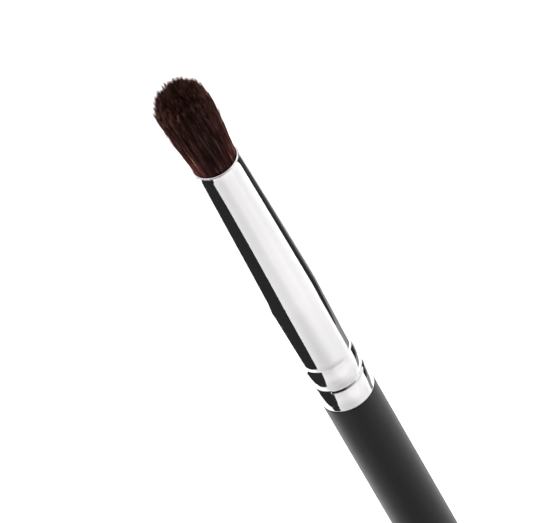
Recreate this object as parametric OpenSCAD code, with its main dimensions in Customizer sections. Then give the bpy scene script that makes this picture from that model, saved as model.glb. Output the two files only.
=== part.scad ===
// Round eyeshadow brush: a domed head of hair, tied and glued into a drawn metal ferrule,
// which two crimps lock onto the tenon of a turned and lacquered wooden handle.
// It stands upright on its own axis, tail down at z = 0, hair up. Millimetres.

/* [Ferrule] */
// Length of the ferrule, from the handle's shoulder to the mouth
ferrule_len = 50; // [44:1:60]
// Outside diameter of the straight barrel
barrel_d = 8.5; // [8.2:0.1:9]
// Outside diameter of the tapered tube where it starts to flare into the lip
neck_d = 7.08; // [6.6:0.02:7.4]
// Height of the straight barrel above the shoulder
barrel_len = 22; // [20:1:26]
// Thickness of the drawn tube's wall
wall = 0.3; // [0.2:0.05:0.35]
// Height of the lower crimp above the shoulder
low_crimp_h = 4.22; // [4:0.02:5]
// Depth of the lower crimp
low_crimp_depth = 0.36; // [0.2:0.02:0.4]
// Height of the upper crimp above the shoulder
high_crimp_h = 8.75; // [8:0.05:10]
// Depth of the upper crimp
high_crimp_depth = 0.2; // [0.1:0.02:0.26]

/* [Head of hair] */
// Length of hair that shows above the mouth
hair_out = 15; // [12:0.5:20]
// Widest diameter of the head
head_d = 8; // [7.6:0.1:9]
// Height above the mouth at which the head is widest
belly_h = 10.8; // [8:0.2:11]
// Fullness of the dome, where 2 is an ellipse and more is squarer
dome_power = 2.5; // [1.8:0.1:3]
// Number of strands
strand_count = 400; // [300:10:400]
// Thickness of one strand at its belly
strand_w = 0.3; // [0.2:0.02:0.32]
// Depth to which the hair is set into the ferrule
hair_set = 20; // [16:1:22]

/* [Handle] */
// Length of the handle below the ferrule
handle_len = 110; // [90:5:130]
// Diameter of the straight grip
grip_d = 8.54; // [8.5:0.02:9.4]
// Length of the straight grip below the ferrule
grip_len = 30; // [26:1:36]
// Diameter of the slim tail
tail_d = 5.2; // [4:0.1:6.4]
// Length of the tenon inside the ferrule
tenon_len = 18; // [14:1:19]
// Thickness of the glue between the tenon and the tube
glue_t = 0.1; // [0.05:0.05:0.15]

/* [Hidden] */
$fn = 96;

shoulder_z = handle_len;
mouth_z = handle_len + ferrule_len;
butt_h = ferrule_len - hair_set;

barrel_r = barrel_d / 2;
neck_r = neck_d / 2;
// The cone starts over a short bend, and the tube flares over the last stretch below the lip
bend = 1.5;
flare_h = 1.2;
flare_out = 0.07;
neck_below = 2;
cone_slope = (barrel_r - neck_r) / (ferrule_len - neck_below - barrel_len);
lip_r = 0.19;
rim_round = 0.2;

// Each crimp has one shoulder above its deepest ring and one below it. The lower crimp's
// lower shoulder is wide and soft, with a sharp edge on top where the wheel rolled.
low_reach_above = 2.4;
low_reach_below = 3.2;
low_edge_depth = 0.12;
low_edge_reach = 0.5;
high_reach_above = 1.3;
high_reach_below = 2.6;

// The tenon's end is turned down to a short cone, so that it starts easily
tenon_bevel = 1;
tenon_nose = 0.6;

// Binding at the butt of the hair
tie_h = 1.2;
tie_turns = 6;
thread_d = 0.22;
neck_in = 0.34;
neck_len = 4;
resin_below = 3.5;
hair_clear = 0.03;
slice_z = -0.4;
set_len = 0.35;

// Strands, each a point deep in the packed hair, a knee, a belly and a pointed tip
golden_angle = 137.50776;
strand_r = strand_w / 2;
knee_share = 0.95;
root_z = -18;
knee_z = 4.5;
tip_len = 2.3;
rag = 0.35;
strand_sides = 3;
strand_points = 2 * strand_sides + 2;

function steps(from, to, count) = [for (i = [0 : count - 1]) from + (to - from) * i / count];

// How far a crimp draws the wall in, at a distance from its deepest ring
function shoulder(away, depth, reach, power) = depth * pow(max(0, 1 - away / reach), power);

// Radius of the drawn tube before it is crimped: barrel, bend, cone and flare
function drawn_r(h) =
    let (x = h - barrel_len)
    let (flare = max(0, h - ferrule_len + flare_h) / flare_h)
    x < -bend ? barrel_r
    : x < bend ? barrel_r - cone_slope * pow(x + bend, 2) / (4 * bend)
    : barrel_r - cone_slope * x + flare_out * pow(flare, 2);

// How far the lower crimp draws the tube in
function low_crimp(h) =
    let (away = abs(h - low_crimp_h))
    h > low_crimp_h ? shoulder(away, low_crimp_depth, low_reach_above, 4)
    : shoulder(away, low_crimp_depth - low_edge_depth, low_reach_below, 2)
    + shoulder(away, low_edge_depth, low_edge_reach, 2);

// How far the upper crimp draws the tube in
function high_crimp(h) =
    let (away = abs(h - high_crimp_h))
    h > high_crimp_h ? shoulder(away, high_crimp_depth, high_reach_above, 3)
    : shoulder(away, high_crimp_depth, high_reach_below, 2);

// Radius of the finished ferrule's outside at a height above the shoulder
function tube_r(h) = drawn_r(h) - low_crimp(h) - high_crimp(h);

function bore_r(h) = tube_r(h) - wall;

// Heights at which the curved parts of the tube are drawn
low_edge_h = low_crimp_h - low_edge_reach;
low_steep_h = low_crimp_h + low_reach_above / 3;
crimp_heights = concat(
    steps(rim_round, low_edge_h, 7),
    steps(low_edge_h, low_crimp_h, 5),
    steps(low_crimp_h, low_steep_h, 5),
    steps(low_steep_h, high_crimp_h, 14),
    steps(high_crimp_h, high_crimp_h + high_reach_above, 7),
    [high_crimp_h + high_reach_above]);
cone_heights = concat(
    steps(barrel_len - bend, barrel_len + bend, 6),
    [barrel_len + bend],
    steps(ferrule_len - flare_h, ferrule_len - lip_r, 4));
tube_heights = concat(crimp_heights, cone_heights);
tenon_heights = concat([0], crimp_heights, [tenon_len - tenon_bevel]);

function reversed(list) = [for (i = [len(list) - 1 : -1 : 0]) list[i]];

// A drawn tube: its outside and bore keep one wall apart, its rim is rounded, and a rolled
// lip closes its mouth
module ferrule() {
    rim_arc = [for (a = [0 : 18 : 72])
        [tube_r(rim_round) - rim_round * (1 - sin(a)), rim_round * (1 - cos(a))]];
    lip_mid_r = tube_r(ferrule_len - lip_r) - wall / 2;
    lip_arc = [for (a = [0 : 20 : 180])
        [lip_mid_r + lip_r * cos(a), ferrule_len - lip_r + lip_r * sin(a)]];
    outer = [for (h = tube_heights) [tube_r(h), h]];
    inner = [for (h = reversed(tube_heights)) [bore_r(h), h]];
    color([0.86, 0.87, 0.88])
        translate([0, 0, shoulder_z])
            rotate_extrude() polygon(concat(rim_arc, outer, lip_arc, inner, [[bore_r(0), 0]]));
}

// Radius of the handle's turned outside at a height above the tail
tail_r = tail_d / 2;
grip_r = grip_d / 2;
tail_round_h = 4.5;
taper_len = handle_len - grip_len - tail_round_h;
shoulder_round = 0.08;
function taper_r(z) = tail_r + (grip_r - tail_r) * sin(90 * (z - tail_round_h) / taper_len);

// Turned in one piece: round tail, long taper, straight grip, shoulder, and the crimped tenon
module handle() {
    tail = [for (a = [-90 : 10 : -10]) [tail_r * cos(a), tail_round_h * (1 + sin(a))]];
    taper = [for (z = steps(tail_round_h, handle_len - grip_len, 16)) [taper_r(z), z]];
    grip = [[grip_r, handle_len - grip_len]];
    edge = [for (a = [0 : 30 : 90])
        [grip_r - shoulder_round * (1 - cos(a)), shoulder_z - shoulder_round * (1 - sin(a))]];
    tenon = [for (h = tenon_heights) [bore_r(h) - glue_t, shoulder_z + h]];
    tenon_end = [
        [bore_r(tenon_len) - glue_t - tenon_nose, shoulder_z + tenon_len],
        [0, shoulder_z + tenon_len]];
    color([0.13, 0.13, 0.135])
        rotate_extrude() polygon(concat(tail, taper, grip, edge, tenon, tenon_end));
}

// Glue fills the thin space between the tenon and the bore, crimps and all
module tenon_glue() {
    outer = [for (h = tenon_heights) [bore_r(h), h]];
    inner = [for (h = reversed(tenon_heights)) [bore_r(h) - glue_t, h]];
    color([0.85, 0.8, 0.62])
        translate([0, 0, shoulder_z])
            rotate_extrude() polygon(concat(outer, inner));
}

tie_r = bore_r(butt_h + neck_len) - neck_in;
tie_top = tie_h + tie_turns * thread_d;

// The thread lies in a scalloped band round the neck of the hair
module binding_thread() {
    bulge = [for (turn = [0 : tie_turns - 1]) for (a = [-60 : 30 : 60])
        [tie_r + thread_d / 2 * (1 + cos(a)), tie_h + thread_d * (turn + 0.5 + sin(a) / 2)]];
    color([0.9, 0.88, 0.8])
        translate([0, 0, shoulder_z + butt_h])
            rotate_extrude() polygon(concat([[tie_r, tie_h]], bulge, [[tie_r, tie_top]]));
}

// Resin fills the bore under the hair and the space round its tied neck
module root_resin() {
    low = butt_h - resin_below;
    high = butt_h + neck_len;
    seat_r = tie_r + thread_d;
    color([0.78, 0.62, 0.32])
        translate([0, 0, shoulder_z])
            rotate_extrude() polygon([
                [0, low],
                [bore_r(low), low],
                [bore_r(high), high],
                [tie_r, high],
                [tie_r, butt_h + tie_top],
                [seat_r, butt_h + tie_top],
                [seat_r, butt_h + tie_h],
                [tie_r, butt_h + tie_h],
                [tie_r, butt_h],
                [0, butt_h]]);
}

// Radius to which the hair has spread at a height above the mouth
root_r = bore_r(ferrule_len + slice_z) - 2 * hair_clear;
head_r = head_d / 2;
function spread_r(z) = root_r + (head_r - root_r) * sin(90 * min(1, max(0, z) / belly_h));

// Height of the dome over a strand that stands at the given share of the radius
function dome_h(share) =
    belly_h + (hair_out - belly_h) * pow(1 - pow(share, dome_power), 1 / dome_power);

// Strands stand in a sunflower pattern: strand i is at this share of the radius and this turn
function share_of(i) = sqrt((i + 0.5) / strand_count);
function turn_of(i) = i * golden_angle;
function centre_r(i, z) = share_of(i) * (spread_r(z) - strand_r);

// The straight root runs on down the line from the slice to the knee
function root_centre_r(i) =
    let (lean = (centre_r(i, knee_z) - centre_r(i, slice_z)) / (knee_z - slice_z))
    centre_r(i, slice_z) + lean * (root_z - slice_z);

function strand_point(i, r, z) = [r * cos(turn_of(i)), r * sin(turn_of(i)), z];

function strand_ring(i, z, r) =
    [for (corner = [0 : strand_sides - 1])
        let (a = corner * 360 / strand_sides)
        strand_point(i, centre_r(i, z), z) + [r * cos(a), r * sin(a), 0]];

// All points of one strand from its root to its tip
function strand(i, tip) = concat(
    [strand_point(i, root_centre_r(i), root_z)],
    strand_ring(i, knee_z, strand_r * knee_share),
    strand_ring(i, tip - tip_len, strand_r),
    [strand_point(i, centre_r(i, tip), tip)]);

// Faces of one strand whose points start at the given index
function strand_faces(root) =
    let (tip = root + strand_points - 1)
    [for (corner = [0 : strand_sides - 1])
        let (a = root + 1 + corner)
        let (b = root + 1 + (corner + 1) % strand_sides)
        let (up_a = a + strand_sides)
        let (up_b = b + strand_sides)
        each [[root, a, b], [a, up_a, b], [b, up_a, up_b], [up_a, tip, up_b]]];

// Packed hair inside the tube, necked at its butt for the tie. The strands rise from it.
module packed_hair() {
    set_h = butt_h + neck_len + set_len;
    rotate_extrude($fn = 48) polygon([
        [0, butt_h - ferrule_len],
        [tie_r - hair_clear, butt_h - ferrule_len],
        [tie_r - hair_clear, butt_h + neck_len - ferrule_len],
        [bore_r(set_h) - hair_clear, set_h - ferrule_len],
        [root_r, slice_z],
        [0, slice_z]]);
}

module bristle_tuft() {
    shortfalls = rands(0, rag, strand_count, 17);
    tips = [for (i = [0 : strand_count - 1]) dome_h(share_of(i)) - shortfalls[i]];
    tuft_points = [for (i = [0 : strand_count - 1]) each strand(i, tips[i])];
    tuft_faces = [for (i = [0 : strand_count - 1]) each strand_faces(i * strand_points)];
    color([0.16, 0.07, 0.055])
        translate([0, 0, mouth_z])
            // Resized to its own height, so one mesh fuses the strands with the packed hair
            resize([0, 0, hair_set + max(tips)])
                union() {
                    packed_hair();
                    polyhedron(tuft_points, tuft_faces);
                }
}

bristle_tuft();
binding_thread();
root_resin();
ferrule();
tenon_glue();
handle();
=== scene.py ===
import math

import bpy
import numpy as np
from mathutils import Matrix, Vector


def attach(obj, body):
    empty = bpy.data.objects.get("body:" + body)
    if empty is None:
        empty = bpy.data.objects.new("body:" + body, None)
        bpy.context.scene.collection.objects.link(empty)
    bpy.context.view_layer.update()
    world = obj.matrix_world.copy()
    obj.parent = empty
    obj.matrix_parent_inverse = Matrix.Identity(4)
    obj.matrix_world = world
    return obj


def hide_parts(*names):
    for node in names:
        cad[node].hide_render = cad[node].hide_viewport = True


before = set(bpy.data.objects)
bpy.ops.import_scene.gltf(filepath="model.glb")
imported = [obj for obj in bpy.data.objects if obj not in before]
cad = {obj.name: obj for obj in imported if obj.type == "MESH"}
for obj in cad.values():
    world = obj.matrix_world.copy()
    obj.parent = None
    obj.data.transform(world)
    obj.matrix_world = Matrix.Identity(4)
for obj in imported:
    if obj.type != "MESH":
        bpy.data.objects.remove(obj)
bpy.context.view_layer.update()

# Handle. The real one is a birch dowel turned on a lathe: round tail, long taper, straight grip
# and a thinner tenon for the ferrule. It is dipped in black lacquer that dries satin.
MM = 0.001
HANDLE_LEN = 110
FERRULE_LEN = 50
GRIP_R = 4.27
GRIP_LEN = 30
TAIL_R = 2.6
TAIL_ROUND = 4.5
EDGE_ROUND = 0.08
TENON_LEN = 18
TENON_NOSE = 0.6
TENON_BEVEL = 1
GLUE_T = 0.1
BARREL_R = 4.25
BARREL_LEN = 22
NECK_R = 3.54
NECK_BELOW = 2
BEND = 1.5
CONE_SLOPE = (BARREL_R - NECK_R) / (FERRULE_LEN - NECK_BELOW - BARREL_LEN)
FLARE_H = 1.2
FLARE_OUT = 0.07
WALL = 0.3
LOW_CRIMP_H = 4.22
LOW_CRIMP_DEPTH = 0.36
LOW_REACH_ABOVE = 2.4
LOW_REACH_BELOW = 3.2
LOW_EDGE_DEPTH = 0.12
LOW_EDGE_REACH = 0.5
HIGH_CRIMP_H = 8.75
HIGH_CRIMP_DEPTH = 0.2
HIGH_REACH_ABOVE = 1.3
HIGH_REACH_BELOW = 2.6
# How far below the shoulder the grip's rings are, and the step between the tenon's rings.
GRIP_RINGS_BELOW = (20, 10, 2, 0.2)
RING_STEP = 0.1


def shoulder(away, depth, reach, power):
    """How far a crimp draws the wall in, at a distance from its deepest ring."""
    return depth * np.clip(1 - away / reach, 0, 1) ** power


def tube_r(h):
    """Outside radius of the crimped ferrule at a height above the handle's shoulder."""
    h = np.asarray(h, float)
    x = h - BARREL_LEN
    flare = FLARE_OUT * np.maximum(0, 1 + (h - FERRULE_LEN) / FLARE_H) ** 2
    cone = BARREL_R - CONE_SLOPE * x + flare
    bend = BARREL_R - CONE_SLOPE * (x + BEND) ** 2 / (4 * BEND)
    drawn = np.where(x < -BEND, BARREL_R, np.where(x < BEND, bend, cone))
    from_low = np.abs(h - LOW_CRIMP_H)
    from_high = np.abs(h - HIGH_CRIMP_H)
    low = np.where(
        h < LOW_CRIMP_H,
        shoulder(from_low, LOW_CRIMP_DEPTH - LOW_EDGE_DEPTH, LOW_REACH_BELOW, 2)
        + shoulder(from_low, LOW_EDGE_DEPTH, LOW_EDGE_REACH, 2),
        shoulder(from_low, LOW_CRIMP_DEPTH, LOW_REACH_ABOVE, 4))
    high = np.where(
        h < HIGH_CRIMP_H,
        shoulder(from_high, HIGH_CRIMP_DEPTH, HIGH_REACH_BELOW, 2),
        shoulder(from_high, HIGH_CRIMP_DEPTH, HIGH_REACH_ABOVE, 3))
    return drawn - low - high


def turned(name, outline, sides=192, closed=False):
    """A round piece from its half outline, points of (radius, height) in mm, from low to high."""
    verts, rings = [], []
    for r, z in outline:
        on_axis = r < 1e-6
        ring = range(len(verts), len(verts) + (1 if on_axis else sides))
        rings.append([ring[0]] * sides if on_axis else list(ring))
        for k in range(len(ring)):
            a = 2 * math.pi * k / sides
            verts.append((r * MM * math.cos(a), r * MM * math.sin(a), z * MM))
    if closed:
        rings.append(rings[0])
    faces = []
    for low, high in zip(rings, rings[1:]):
        for k in range(sides):
            n = (k + 1) % sides
            corners = dict.fromkeys((low[k], low[n], high[n], high[k]))
            faces.append(tuple(corners))
    mesh = bpy.data.meshes.new(name)
    mesh.from_pydata(verts, [], faces)
    mesh.shade_smooth()
    piece = bpy.data.objects.new(name, mesh)
    bpy.context.scene.collection.objects.link(piece)
    return piece


def handle_outline():
    """Tail, taper, grip, rounded shoulder and tenon, from the tail up."""
    points = []
    for a in np.radians(np.arange(-90, 0, 5)):
        points.append((TAIL_R * math.cos(a), TAIL_ROUND * (1 + math.sin(a))))
    for share in np.linspace(0, 1, 40):
        z = TAIL_ROUND + share * (HANDLE_LEN - GRIP_LEN - TAIL_ROUND)
        points.append((TAIL_R + (GRIP_R - TAIL_R) * math.sin(math.pi / 2 * share), z))
    for below in GRIP_RINGS_BELOW:
        points.append((GRIP_R, HANDLE_LEN - below))
    for a in np.radians(np.arange(0, 91, 15)):
        points.append((GRIP_R - EDGE_ROUND * (1 - math.cos(a)),
                       HANDLE_LEN - EDGE_ROUND * (1 - math.sin(a))))
    for h in np.arange(0, TENON_LEN - TENON_BEVEL + RING_STEP / 2, RING_STEP):
        points.append((float(tube_r(h)) - WALL - GLUE_T, HANDLE_LEN + h))
    nose_r = float(tube_r(TENON_LEN)) - WALL - GLUE_T - TENON_NOSE
    points.append((nose_r, HANDLE_LEN + TENON_LEN))
    points.append((0, HANDLE_LEN + TENON_LEN))
    return points


handle = turned("turned_handle", handle_outline())


def shader(name):
    """A new material with its nodes, links and Principled shader."""
    material = bpy.data.materials.new(name)
    material.use_nodes = True
    nodes, links = material.node_tree.nodes, material.node_tree.links
    return material, nodes, links, nodes["Principled BSDF"]


def ramp(nodes, links, value, stops):
    """A colour ramp on a value, with stops of (place, colour)."""
    node = nodes.new("ShaderNodeValToRGB")
    elements = node.color_ramp.elements
    while len(elements) < len(stops):
        elements.new(0.5)
    for element, (place, colour) in zip(elements, stops):
        element.position = place
        element.color = (*colour, 1)
    links.new(value, node.inputs["Fac"])
    return node.outputs["Color"]


def mottle_group():
    """Uneven patches over a surface, with a mask and a height, sized per metre."""
    group = bpy.data.node_groups.new("mottle", "ShaderNodeTree")
    for socket, kind, direction in (
            ("Size", "NodeSocketFloat", "INPUT"), ("Lengthwise", "NodeSocketFloat", "INPUT"),
            ("Detail", "NodeSocketFloat", "INPUT"), ("Mask", "NodeSocketFloat", "OUTPUT")):
        group.interface.new_socket(socket, in_out=direction, socket_type=kind)
    nodes, links = group.nodes, group.links
    given = nodes.new("NodeGroupInput")
    put_out = nodes.new("NodeGroupOutput")
    place = nodes.new("ShaderNodeTexCoord")
    stretch = nodes.new("ShaderNodeCombineXYZ")
    stretch.inputs["X"].default_value = 1
    stretch.inputs["Y"].default_value = 1
    links.new(given.outputs["Lengthwise"], stretch.inputs["Z"])
    scaled = nodes.new("ShaderNodeVectorMath")
    scaled.operation = "MULTIPLY"
    links.new(place.outputs["Object"], scaled.inputs[0])
    links.new(stretch.outputs["Vector"], scaled.inputs[1])
    noise = nodes.new("ShaderNodeTexNoise")
    links.new(scaled.outputs["Vector"], noise.inputs["Vector"])
    links.new(given.outputs["Size"], noise.inputs["Scale"])
    links.new(given.outputs["Detail"], noise.inputs["Detail"])
    links.new(noise.outputs["Fac"], put_out.inputs["Mask"])
    return group


mottle = mottle_group()


def patches(nodes, size, lengthwise, detail):
    """The mottle group in one material, with its own size, stretch and detail."""
    node = nodes.new("ShaderNodeGroup")
    node.node_tree = mottle
    node.inputs["Size"].default_value = size
    node.inputs["Lengthwise"].default_value = lengthwise
    node.inputs["Detail"].default_value = detail
    return node.outputs["Mask"]


def bumped(nodes, links, height, principled, strength, depth):
    """Relief of the given depth in metres on a shader."""
    bump = nodes.new("ShaderNodeBump")
    bump.inputs["Strength"].default_value = strength
    bump.inputs["Distance"].default_value = depth
    links.new(height, bump.inputs["Height"])
    links.new(bump.outputs["Normal"], principled.inputs["Normal"])


def graded(nodes, links, value, low, high):
    """A value from 0 to 1, spread between low and high."""
    node = nodes.new("ShaderNodeMapRange")
    node.inputs["From Min"].default_value = 0.3
    node.inputs["From Max"].default_value = 0.7
    node.inputs["To Min"].default_value = low
    node.inputs["To Max"].default_value = high
    links.new(value, node.inputs["Value"])
    return node.outputs["Result"]


lacquer, nodes, links, principled = shader("satin_lacquer")
black = ramp(nodes, links, patches(nodes, 900, 0.15, 4), [
    (0.3, (0.0034, 0.0030, 0.0032)), (0.7, (0.0050, 0.0046, 0.0048))])
links.new(black, principled.inputs["Base Color"])
satin = graded(nodes, links, patches(nodes, 2600, 0.6, 2), 0.34, 0.39)
links.new(satin, principled.inputs["Roughness"])
bumped(nodes, links, patches(nodes, 3200, 1, 2), principled, 0.12, 0.00002)
principled.inputs["Specular IOR Level"].default_value = 0.285
principled.inputs["Specular Tint"].default_value = (1, 0.945, 0.965, 1)
principled.inputs["Sheen Weight"].default_value = 0.02
principled.inputs["Sheen Roughness"].default_value = 0.4
handle.data.materials.append(lacquer)
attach(handle, "root")
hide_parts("handle")

# Glue. A film of wood glue between the tenon and the bore, squeezed thin when the ferrule
# goes on. It dries yellowish and milky, with small trapped bubbles.
dry_glue, nodes, links, principled = shader("dried_wood_glue")
milky = ramp(nodes, links, patches(nodes, 1500, 1, 3), [
    (0.35, (0.62, 0.52, 0.32)), (0.65, (0.80, 0.73, 0.52))])
links.new(milky, principled.inputs["Base Color"])
dull = graded(nodes, links, patches(nodes, 3000, 1, 2), 0.45, 0.6)
links.new(dull, principled.inputs["Roughness"])
bumped(nodes, links, patches(nodes, 4000, 1, 2), principled, 0.3, 0.00004)
cad["tenon_glue"].data.materials.clear()
cad["tenon_glue"].data.materials.append(dry_glue)

# Ferrule. A brass tube, drawn to a taper, its mouth rolled to a lip, then nickel plated and
# polished. Two turns of a crimping wheel press it into the tenon, the lower one wider.
LIP_R = 0.19
RIM_R = 0.2
# The height at which each run of rings ends, and how many it has. They are closest at the crimps.
RING_RUNS = ((2, 40), (11, 180), (20, 12), (24, 20), (48.6, 24), (FERRULE_LEN - LIP_R, 16))


def ferrule_outline():
    """Outside from the rim up, round the lip, and down the bore."""
    heights = []
    low = RIM_R
    for high, count in RING_RUNS:
        heights.extend(np.linspace(low, high, count, endpoint=False))
        low = high
    lip_h = HANDLE_LEN + FERRULE_LEN - LIP_R
    lip_mid = float(tube_r(FERRULE_LEN - LIP_R)) - WALL / 2
    points = []
    for a in np.radians(np.arange(0, 90, 15)):
        points.append((float(tube_r(RIM_R)) - RIM_R * (1 - math.sin(a)),
                       HANDLE_LEN + RIM_R * (1 - math.cos(a))))
    for h in heights:
        points.append((float(tube_r(h)), HANDLE_LEN + h))
    for a in np.radians(np.arange(0, 181, 10)):
        points.append((lip_mid + LIP_R * math.cos(a), lip_h + LIP_R * math.sin(a)))
    for h in heights[::-4]:
        points.append((float(tube_r(h)) - WALL, HANDLE_LEN + h))
    return points


ferrule = turned("crimped_ferrule", ferrule_outline(), sides=240, closed=True)

nickel, nodes, links, principled = shader("polished_nickel")
principled.inputs["Metallic"].default_value = 1
silvery = ramp(nodes, links, patches(nodes, 300, 0.3, 3), [
    (0.3, (0.87, 0.855, 0.86)), (0.7, (0.90, 0.884, 0.889))])
links.new(silvery, principled.inputs["Base Color"])
polish = graded(nodes, links, patches(nodes, 900, 3, 4), 0.035, 0.06)
links.new(polish, principled.inputs["Roughness"])
ferrule.data.materials.append(nickel)
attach(ferrule, "root")
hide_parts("ferrule")

# Resin. Clear amber epoxy, dropped into the ferrule behind the hair, which it wets and locks
# to the tube. It sets hard and glossy, with a few fine bubbles.
resin, nodes, links, principled = shader("amber_epoxy")
amber = ramp(nodes, links, patches(nodes, 700, 1, 3), [
    (0.3, (0.38, 0.20, 0.045)), (0.7, (0.60, 0.38, 0.12))])
links.new(amber, principled.inputs["Base Color"])
glossy = graded(nodes, links, patches(nodes, 2000, 1, 2), 0.12, 0.25)
links.new(glossy, principled.inputs["Roughness"])
principled.inputs["Coat Weight"].default_value = 0.4
cad["root_resin"].data.materials.clear()
cad["root_resin"].data.materials.append(resin)

# Binding. Waxed cotton thread, wound six times round the butt of the hair and pulled tight
# before the hair goes into the ferrule.
cotton, nodes, links, principled = shader("waxed_cotton")
cream = ramp(nodes, links, patches(nodes, 5000, 0.4, 3), [
    (0.3, (0.62, 0.57, 0.46)), (0.7, (0.84, 0.80, 0.70))])
links.new(cream, principled.inputs["Base Color"])
waxy = graded(nodes, links, patches(nodes, 5000, 1, 2), 0.6, 0.8)
links.new(waxy, principled.inputs["Roughness"])
bumped(nodes, links, patches(nodes, 6000, 0.3, 2), principled, 0.5, 0.00003)
cad["binding_thread"].data.materials.clear()
cad["binding_thread"].data.materials.append(cotton)

# Hair. Soft dark brown hair, packed tight in the ferrule and shaped in the cup to a dome, so
# every hair keeps its own fine tip. It swells over the lip. Its tips draw together in small
# locks, some of which stand tall and splay.
MOUTH_Z = HANDLE_LEN + FERRULE_LEN
HAIR_SET = 20
ROOT_DEPTH = 0.5
MOUTH_R = 3.15
LIP_SWELL = 0.26
LIP_SWELL_H = 0.35
HEAD_R = 4.0
BELLY_H = 10.7
HAIR_OUT = 15
DOME_POWER = 2.5
HAIR_R = 0.038
HAIR_SIDES = 3
GOLDEN_ANGLE = math.radians(137.50776)
# Shares of a hair's length at which it has a ring, and its thickness there.
PLACES = (0, 0.12, 0.28, 0.46, 0.64, 0.8, 0.9, 0.96, 1)
TAPER = (0.9, 1, 1, 1, 0.95, 0.9, 0.75, 0.5, 0)
# Shares of its length from which a hair draws to its lock, splays, and turns lighter with painted
# backlight.
PULL_FROM = 0.84
SPLAY_FROM = 0.8
LIGHT_FROM = 0.9
# How much lower a hair ends for each millimetre that it stands off the middle of its lock.
LOCK_POINT = 2.6
UV_STEP = 0.004
dice = np.random.default_rng(11)


def spread_r(z):
    """Radius of the head of hair at a height above the mouth."""
    up = np.clip(z / BELLY_H, 0, 1)
    over_lip = LIP_SWELL * (1 - np.exp(-np.maximum(z, 0) / LIP_SWELL_H))
    return MOUTH_R + over_lip + (HEAD_R - MOUTH_R - LIP_SWELL) * np.sin(np.pi / 2 * up) ** 1.5


def dome_h(share):
    """Height of the dome over a hair at the given share of the radius."""
    fall = (1 - np.minimum(share, 1) ** DOME_POWER) ** (1 / DOME_POWER)
    return BELLY_H + (HAIR_OUT - BELLY_H) * fall


def sunflower(count, jitter):
    """Shares of the radius and turns of evenly spread hairs."""
    i = np.arange(count)
    share = np.sqrt((i + 0.5) / count) + jitter * dice.standard_normal(count)
    return np.clip(share, 0, 1), i * GOLDEN_ANGLE + jitter * dice.standard_normal(count)


def past(place, start):
    """How far a place on a hair lies past a start, from 0 there to 1 at the tip."""
    return max(0, (place - start) / (1 - start))


LOCKS = 900
TALL_SHARE = 0.34
lock_share, lock_turn = sunflower(LOCKS, 0.02)
lock_pull = dice.uniform(0.45, 0.9, LOCKS)
tall = dice.random(LOCKS) < TALL_SHARE
lock_lift = np.where(tall, dice.uniform(-0.1, 0.6, LOCKS), dice.normal(-0.35, 0.08, LOCKS))
lock_flare = np.where(tall, dice.uniform(0.1, 0.5, LOCKS), dice.uniform(-0.15, 0.05, LOCKS))
lock_lean = dice.normal(0, 0.006, (LOCKS, 2)) + (-0.004, 0)
lock_shade = dice.random((LOCKS, len(PLACES)))
lock_x = lock_share * np.cos(lock_turn)
lock_y = lock_share * np.sin(lock_turn)


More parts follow.
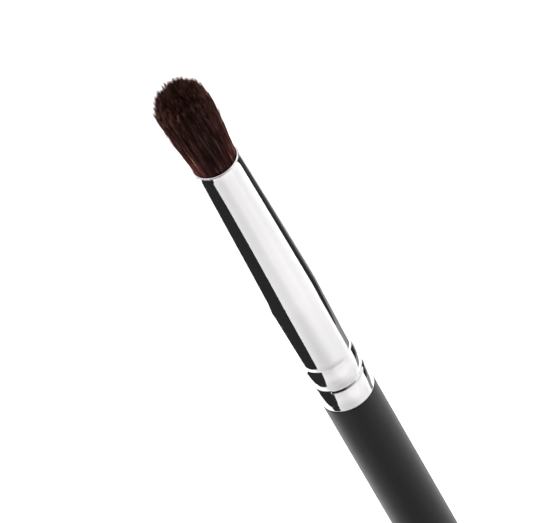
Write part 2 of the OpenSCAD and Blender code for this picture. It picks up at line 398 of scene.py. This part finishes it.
def hairs(name, share, turn, thick, short, stray):
    """Fine three-sided hairs, each tapered to a tip, as one mesh.

    short is how far each hair ends below the dome, and stray how much more it leans in x and y.
    """
    count = len(share)
    x0, y0 = share * np.cos(turn), share * np.sin(turn)
    lock = np.argmin((x0[:, None] - lock_x) ** 2 + (y0[:, None] - lock_y) ** 2, axis=1)
    off_lock = np.hypot(x0 - lock_x[lock], y0 - lock_y[lock]) * HEAD_R
    tip = dome_h(share) - short + lock_lift[lock] - LOCK_POINT * off_lock
    phase = dice.uniform(0, 2 * np.pi, (2, count))
    wave = dice.uniform(0.01, 0.08, count)
    lean = lock_lean[lock] + dice.normal(0, 0.010, (count, 2)) + stray
    flare = share ** 4 * (lock_flare[lock] + dice.uniform(-0.1, 0.15, count))
    # Painted backlight on the tips: they are lightest at the rim of the head, and on the full-length
    # hairs of tall locks.
    full_length = np.clip(1 - short, 0, 1)
    painted_backlight = 0.9 * share ** 8 + (0.25 + 0.3 * share ** 2) * tall[lock] * full_length
    verts, painted_light = [], []
    for place, thin in zip(PLACES, TAPER):
        z = -ROOT_DEPTH + place * (tip + ROOT_DEPTH)
        reach = spread_r(z) - HAIR_R
        pull = lock_pull[lock] * (0.15 * place ** 2 + 0.85 * past(place, PULL_FROM))
        x = reach * (x0 + (lock_x[lock] - x0) * pull) + lean[:, 0] * z * place
        y = reach * (y0 + (lock_y[lock] - y0) * pull) + lean[:, 1] * z * place
        x = x + wave * place * np.sin(7 * place + phase[0])
        y = y + wave * place * np.sin(6 * place + phase[1])
        end = past(place, SPLAY_FROM) ** 2
        x = x + end * flare * np.cos(turn)
        y = y + end * flare * np.sin(turn)
        # Painted shade grows up each hair, and painted backlight lightens the last part of its tip.
        tone = 0.5 * place ** 1.3 + 0.5 * past(place, LIGHT_FROM) ** 2 * np.minimum(painted_backlight, 1)
        if thin == 0:
            verts.append(np.stack([x, y, z], 1)[:, None, :])
            painted_light.append(tone[:, None])
            continue
        ring = []
        for corner in range(HAIR_SIDES):
            a = 2 * np.pi * corner / HAIR_SIDES + phase[0]
            ring.append(np.stack([x + thin * thick * np.cos(a), y + thin * thick * np.sin(a), z], 1))
        verts.append(np.stack(ring, 1))
        painted_light.append(np.repeat(tone[:, None], HAIR_SIDES, 1))
    verts = np.concatenate(verts, 1)
    painted_light = np.concatenate(painted_light, 1).ravel()
    per_hair = verts.shape[1]
    # Two triangles between each pair of corners and the next ring, then the tip and the root.
    faces = []
    top = (len(PLACES) - 2) * HAIR_SIDES
    for low in range(0, top, HAIR_SIDES):
        for corner in range(HAIR_SIDES):
            a, b = low + corner, low + (corner + 1) % HAIR_SIDES
            faces.append((a, b, b + HAIR_SIDES))
            faces.append((a, b + HAIR_SIDES, a + HAIR_SIDES))
    for corner in range(HAIR_SIDES):
        faces.append((top + corner, top + (corner + 1) % HAIR_SIDES, per_hair - 1))
    faces.append((2, 1, 0))
    faces = (np.array(faces)[None] + np.arange(count)[:, None, None] * per_hair).reshape(-1, 3)
    mesh = bpy.data.meshes.new(name)
    mesh.vertices.add(count * per_hair)
    points = verts.reshape(-1, 3) * MM + [0, 0, MOUTH_Z * MM]
    mesh.vertices.foreach_set("co", points.astype(np.float32).ravel())
    mesh.loops.add(faces.size)
    mesh.loops.foreach_set("vertex_index", faces.astype(np.int32).ravel())
    mesh.polygons.add(len(faces))
    mesh.polygons.foreach_set("loop_start", np.arange(0, faces.size, 3, dtype=np.int32))
    mesh.update(calc_edges=True)
    mesh.shade_smooth()
    # A shade has three shares: the place on its hair, the place on its lock, and the hair.
    ring_sizes = [HAIR_SIDES] * (len(PLACES) - 1) + [1]
    along = np.repeat(dice.random((count, len(PLACES))), ring_sizes, axis=1)
    lock_along = np.repeat(lock_shade[lock], ring_sizes, axis=1)
    shade = (0.3 * dice.random(count)[:, None] + 0.36 * lock_along + 0.34 * along).ravel()
    for label, values in (("shade", shade), ("painted_light", painted_light)):
        stored = mesh.attributes.new(label, "FLOAT", "POINT")
        stored.data.foreach_set("value", values.astype(np.float32))
    # The corners of a ring lie a little apart in the map, so that a hair's sides have area there.
    one_hair = np.concatenate([np.tile([-UV_STEP, 0, UV_STEP], len(PLACES) - 1), [0]])
    corner_u = np.tile(one_hair, count)
    u = np.clip(0.01 + 0.98 * shade + corner_u, 0, 1)
    uv = np.stack([u, painted_light], 1)[faces.ravel()]
    mesh.uv_layers.new(name="OFBake").uv.foreach_set("vector", uv.astype(np.float32).ravel())
    piece = bpy.data.objects.new(name, mesh)
    bpy.context.scene.collection.objects.link(piece)
    return piece


HAIRS = 7600
LOW_SHARE = 0.25
share, turn = sunflower(HAIRS, 0.006)
short = dice.exponential(0.32, HAIRS) - 0.15
ends_low = dice.random(HAIRS) < LOW_SHARE
short = short + np.where(ends_low, dice.uniform(0, 4, HAIRS), 0)
thick = HAIR_R * dice.uniform(0.75, 1.15, HAIRS)
no_stray = np.zeros((HAIRS, 2))
head = []
outer = share > np.sqrt(0.5)
for name, part in (("hair_core", ~outer), ("hair_outer", outer)):
    head.append(hairs(name, share[part], turn[part], thick[part], short[part], no_stray[part]))
STRAYS = 50
STRAY_R = 0.03
share, turn = sunflower(STRAYS, 0.02)
share = 0.93 + 0.07 * share
away = dice.uniform(0.01, 0.05, STRAYS)
stray = np.stack([away * np.cos(turn), away * np.sin(turn)], 1)
short = dice.uniform(-0.5, 3, STRAYS)
head.append(hairs("stray_hairs", share, turn, np.full(STRAYS, STRAY_R), short, stray))

brown, nodes, links, principled = shader("dark_brown_hair")


def strand_value(label):
    """A value stored on the hairs, in the material that is being made."""
    node = nodes.new("ShaderNodeAttribute")
    node.attribute_name = label
    return node.outputs["Fac"]


def grey_ramp(nodes, links, value, stops):
    """A ramp of grey levels on a value, with stops of (place, level)."""
    return ramp(nodes, links, value, [(at, (level, level, level)) for at, level in stops])


body_colour = ramp(nodes, links, strand_value("shade"), [
    (0.25, (0.015, 0.0026, 0.0022)), (0.5, (0.042, 0.0100, 0.0090)),
    (0.68, (0.108, 0.040, 0.033)), (0.84, (0.235, 0.130, 0.108))])
# Painted shade along a hair: its colour is dimmer above its root, darkest near its end, and full
# again in a tip with painted backlight.
level = grey_ramp(nodes, links, strand_value("painted_light"), [
    (0, 1), (0.07, 1), (0.13, 0.56), (0.41, 0.64), (0.46, 0.17), (0.5, 0.09), (1, 1)])
painted_shade_mix = nodes.new("ShaderNodeMix")
painted_shade_mix.data_type = "RGBA"
painted_shade_mix.blend_type = "MULTIPLY"
painted_shade_mix.inputs["Factor"].default_value = 1
links.new(body_colour, painted_shade_mix.inputs["A"])
links.new(level, painted_shade_mix.inputs["B"])
# Painted backlight: the top of the scale blends each hair towards a light reddish tip colour.
tip_share = grey_ramp(nodes, links, strand_value("painted_light"), [(0.52, 0), (1, 0.9)])
to_tip = nodes.new("ShaderNodeMix")
to_tip.data_type = "RGBA"
links.new(tip_share, to_tip.inputs["Factor"])
links.new(painted_shade_mix.outputs["Result"], to_tip.inputs["A"])
to_tip.inputs["B"].default_value = (0.3, 0.125, 0.095, 1)
links.new(to_tip.outputs["Result"], principled.inputs["Base Color"])
principled.inputs["Roughness"].default_value = 0.5
principled.inputs["Specular IOR Level"].default_value = 0.09

NECK_LEN = 4
NECK_IN = 0.34
SET_LEN = 0.35
HAIR_CLEAR = 0.03
BUTT_EDGE = 0.1
PACKED_BELOW = 0.4


def packed_outline():
    """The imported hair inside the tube, with the neck that its binding draws in."""
    butt = FERRULE_LEN - HAIR_SET
    neck_top = butt + NECK_LEN
    full = neck_top + SET_LEN
    top = FERRULE_LEN - PACKED_BELOW
    tie_r = float(tube_r(neck_top)) - WALL - NECK_IN
    points = [(0, butt), (tie_r - BUTT_EDGE, butt), (tie_r - HAIR_CLEAR, butt + BUTT_EDGE),
              (tie_r - HAIR_CLEAR, neck_top), (float(tube_r(full)) - WALL - HAIR_CLEAR, full),
              (float(tube_r(top)) - WALL - 2 * HAIR_CLEAR, top), (0, top)]
    return [(r, HANDLE_LEN + h) for r, h in points]


packed = turned("packed_hair", packed_outline(), sides=96)
root_hair, nodes, links, principled = shader("packed_hair_roots")
streaks = ramp(nodes, links, patches(nodes, 9000, 0.03, 2), [
    (0.35, (0.008, 0.0035, 0.003)), (0.65, (0.05, 0.022, 0.016))])
links.new(streaks, principled.inputs["Base Color"])
silky = graded(nodes, links, patches(nodes, 9000, 0.03, 2), 0.4, 0.55)
links.new(silky, principled.inputs["Roughness"])
packed.data.materials.append(root_hair)
for piece in head:
    piece.data.materials.append(brown)
for piece in (packed, *head):
    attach(piece, "root")
    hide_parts("bristle_tuft")

# Studio. A white sheet of paper under soft lamps. Upright cards stand beside the brush and in front
# of it, hidden from the camera and glowing at set levels, as painted reflections so that the
# polished metal has dark lines.
ground, nodes, links, principled = shader("white_paper")
principled.inputs["Roughness"].default_value = 0.9
on_paper = nodes.new("ShaderNodeTexCoord")


def painted_pool(middle, reach, stops):
    """A soft round patch painted on the paper, for painted shade in its colour or painted light in
    its glow, with levels from its far edge to its middle.
    """
    shift = nodes.new("ShaderNodeMapping")
    shift.vector_type = "TEXTURE"
    shift.inputs["Location"].default_value = (*middle, 0)
    shift.inputs["Scale"].default_value = (reach, reach, reach)
    links.new(on_paper.outputs["Object"], shift.inputs["Vector"])
    pool = nodes.new("ShaderNodeTexGradient")
    pool.gradient_type = "QUADRATIC_SPHERE"
    links.new(shift.outputs["Vector"], pool.inputs["Vector"])
    return grey_ramp(nodes, links, pool.outputs["Fac"], stops)


def added(first, second):
    """The sum of two colours."""
    node = nodes.new("ShaderNodeMix")
    node.data_type = "RGBA"
    node.blend_type = "ADD"
    node.inputs["Factor"].default_value = 1
    links.new(first, node.inputs["A"])
    links.new(second, node.inputs["B"])
    return node.outputs["Result"]


# Painted shade: the paper's colour is darker near the foot of the brush. Painted light: the paper
# glows in pools further off. The metal reflects both. The camera sees it white.
links.new(painted_pool((-0.022, -0.058), 0.113, [(0, 0.22), (0.1, 0.185), (1, 0.13)]),
          principled.inputs["Base Color"])
path = nodes.new("ShaderNodeLightPath")
seen = grey_ramp(nodes, links, path.outputs["Is Camera Ray"], [(0, 0), (1, 0.85)])
near = added(painted_pool((0.07, -0.21), 0.22, [(0, 0), (0.2, 0.09), (0.45, 0.23), (1, 0.23)]),
             added(painted_pool((-0.105, 0.065), 0.11, [(0, 0), (1, 0.8)]),
                   painted_pool((0.135, 0.06), 0.12, [(0, 0), (1, 0.8)])))
far = painted_pool((0, 0), 1.2, [(0, 0.75), (0.3, 0.1), (0.74, 0.1), (0.8, 0)])
links.new(added(seen, added(near, far)), principled.inputs["Emission Color"])
principled.inputs["Emission Strength"].default_value = 1


def flat_sheet(name, corners, material):
    """A flat sheet from its corners."""
    mesh = bpy.data.meshes.new(name)
    mesh.from_pydata(corners, [], [tuple(range(len(corners)))])
    sheet = bpy.data.objects.new(name, mesh)
    bpy.context.scene.collection.objects.link(sheet)
    mesh.materials.append(material)
    return sheet


FLOOR = 4
floor_corners = [(-FLOOR, -FLOOR, 0), (FLOOR, -FLOOR, 0), (FLOOR, FLOOR, 0), (-FLOOR, FLOOR, 0)]
flat_sheet("floor", floor_corners, ground)


def card(name, corners, tones, along="Y"):
    """An upright card that only reflections see, a painted reflection that glows at its tones. Its
    tones are (place along the axis, level).
    """
    material, nodes, links, principled = shader(name + "_paper")
    principled.inputs["Base Color"].default_value = (0, 0, 0, 1)
    principled.inputs["Roughness"].default_value = 1
    principled.inputs["Specular IOR Level"].default_value = 0
    place = nodes.new("ShaderNodeTexCoord")
    split = nodes.new("ShaderNodeSeparateXYZ")
    links.new(place.outputs["Object"], split.inputs["Vector"])
    across = nodes.new("ShaderNodeMapRange")
    across.inputs["From Min"].default_value = tones[0][0]
    across.inputs["From Max"].default_value = tones[-1][0]
    links.new(split.outputs[along], across.inputs["Value"])
    span = tones[-1][0] - tones[0][0]
    stops = [((at - tones[0][0]) / span, tone) for at, tone in tones]
    shown = grey_ramp(nodes, links, across.outputs["Result"], stops)
    links.new(shown, principled.inputs["Emission Color"])
    principled.inputs["Emission Strength"].default_value = 1
    sheet = flat_sheet(name, corners, material)
    sheet.visible_camera = False
    sheet.visible_diffuse = False
    sheet.visible_transmission = False
    sheet.visible_volume_scatter = False
    sheet.visible_shadow = False


# One card stands at the left, three at the right, each a little nearer than the last, and one
# in front. Outlines at the sides are points of (y, z), and in front of (x, z).
CARD_TOP = 0.172
LEFT_X = -0.09
left_outline = [
    (-0.044, 0.0215), (-0.045, 0.028), (-0.057, 0.036), (-0.0635, 0.046), (-0.069, 0.06),
    (-0.0655, 0.072), (-0.058, 0.08), (-0.053, 0.088), (-0.052, CARD_TOP),
    (0.047, CARD_TOP), (0.047, 0.075), (0.044, 0.06), (0.045, 0.052), (0.05, 0.0488),
    (0.058, 0.0433), (0.066, 0.0371), (0.07, 0.0338), (0.06, 0.0365)]
card("dark_card_left", [(LEFT_X, y, z) for y, z in left_outline], [(-0.07, 0.022), (0.1, 0.026)])

RIGHT_X = 0.09
CARD_GAP = 0.001
right_upper = [(0.0065, 0.06), (0.0215, 0.09), (0.0215, CARD_TOP), (0.15, CARD_TOP)]
right_outline = [(-0.004, 0.02), *right_upper, (0.15, 0.005), (0.083, 0.023), (0.054, 0.03)]
card("grey_card_right", [(RIGHT_X, y, z) for y, z in right_outline], [(0, 0.27), (0.16, 0.27)])
right_outline = [(0.005, 0.047), *right_upper, (0.15, 0.035)]
card("dark_card_right", [(RIGHT_X - CARD_GAP, y, z) for y, z in right_outline],
     [(0.01, 0.022), (0.032, 0.022), (0.045, 0.05), (0.07, 0.12), (0.15, 0.2)])
right_outline = [*right_upper, (0.15, 0.052)]
card("darker_card_right", [(RIGHT_X - 2 * CARD_GAP, y, z) for y, z in right_outline],
     [(0.01, 0.022), (0.035, 0.022), (0.05, 0.045), (0.15, 0.07)])

FRONT_Y = -0.25
front_outline = [
    (-0.4, -0.02), (-0.12, 0.045), (0.03, 0.065), (0.25, 0.065), (0.25, 0.4), (-0.4, 0.4)]
card("card_front", [(x, FRONT_Y, z) for x, z in front_outline],
     [(-0.4, 0.025), (-0.03, 0.025), (0.03, 0.2), (0.2, 0.5), (0.25, 0.8)], along="X")

# The room is white to the camera and in reflections, and dimmer as a light.
world = bpy.data.worlds.new("studio_white")
bpy.context.scene.world = world
world.use_nodes = True
nodes, links = world.node_tree.nodes, world.node_tree.links
back = nodes["Background"]
back.inputs["Color"].default_value = (1, 1, 1, 1)
path = nodes.new("ShaderNodeLightPath")
seen = nodes.new("ShaderNodeMath")
seen.operation = "MAXIMUM"
links.new(path.outputs["Is Camera Ray"], seen.inputs[0])
links.new(path.outputs["Is Glossy Ray"], seen.inputs[1])
strength = nodes.new("ShaderNodeMapRange")
strength.inputs["To Min"].default_value = 0.3
strength.inputs["To Max"].default_value = 1
links.new(seen.outputs["Value"], strength.inputs["Value"])
links.new(strength.outputs["Result"], back.inputs["Strength"])


LAMP_AIM = Vector((0, 0, 0.13))


def lamp(name, place, size, power):
    """A soft square lamp that points at the ferrule."""
    light = bpy.data.lights.new(name, "AREA")
    light.shape = "SQUARE"
    light.size = size
    light.energy = power
    holder = bpy.data.objects.new(name, light)
    bpy.context.scene.collection.objects.link(holder)
    holder.location = place
    holder.rotation_euler = (LAMP_AIM - Vector(place)).to_track_quat("-Z", "Y").to_euler()
    holder.visible_glossy = False


lamp("soft_lamp_left", (-0.8, -0.6, 0.45), 0.5, 1.5)
lamp("soft_lamp_right", (0.8, -0.6, 0.45), 0.5, 3.5)
lamp("rim_lamp_left", (-0.95, 0.3, 0.4), 0.5, 16)
lamp("rim_lamp_right", (0.95, 0.3, 0.4), 0.5, 18)
lamp("back_lamp", (0, 1, 0.4), 0.5, 13)
lamp("head_lamp_left", (-0.28, 0.08, 0.22), 0.12, 3.3)
lamp("head_lamp_right", (0.28, 0.08, 0.22), 0.12, 2.9)

# Camera. A long lens looks down on the standing brush, turned so that it lies across the frame.
FOCAL_PX = 5000
FRAME_PX = 560
SENSOR = 36
ELEVATION = math.radians(41)
ROLL = math.radians(-30.08)
DISTANCE = 0.707
AIM = Vector((0.00084, 0, 0.13782))
lens = bpy.data.cameras.new("camera")
lens.sensor_width = SENSOR
lens.lens = FOCAL_PX / FRAME_PX * SENSOR
camera = bpy.data.objects.new("camera", lens)
bpy.context.scene.collection.objects.link(camera)
away = Vector((0, -math.cos(ELEVATION), math.sin(ELEVATION)))
level_right = Vector((1, 0, 0))
level_up = Vector((0, math.sin(ELEVATION), math.cos(ELEVATION)))
right = level_right * math.cos(ROLL) + level_up * math.sin(ROLL)
up = level_up * math.cos(ROLL) - level_right * math.sin(ROLL)
turn_of_camera = Matrix((right, up, away)).transposed().to_4x4()
camera.matrix_world = Matrix.Translation(AIM + away * DISTANCE) @ turn_of_camera
lens.clip_start = 0.05
lens.clip_end = 20
bpy.context.scene.camera = camera
bpy.context.scene.view_settings.view_transform = "Standard"
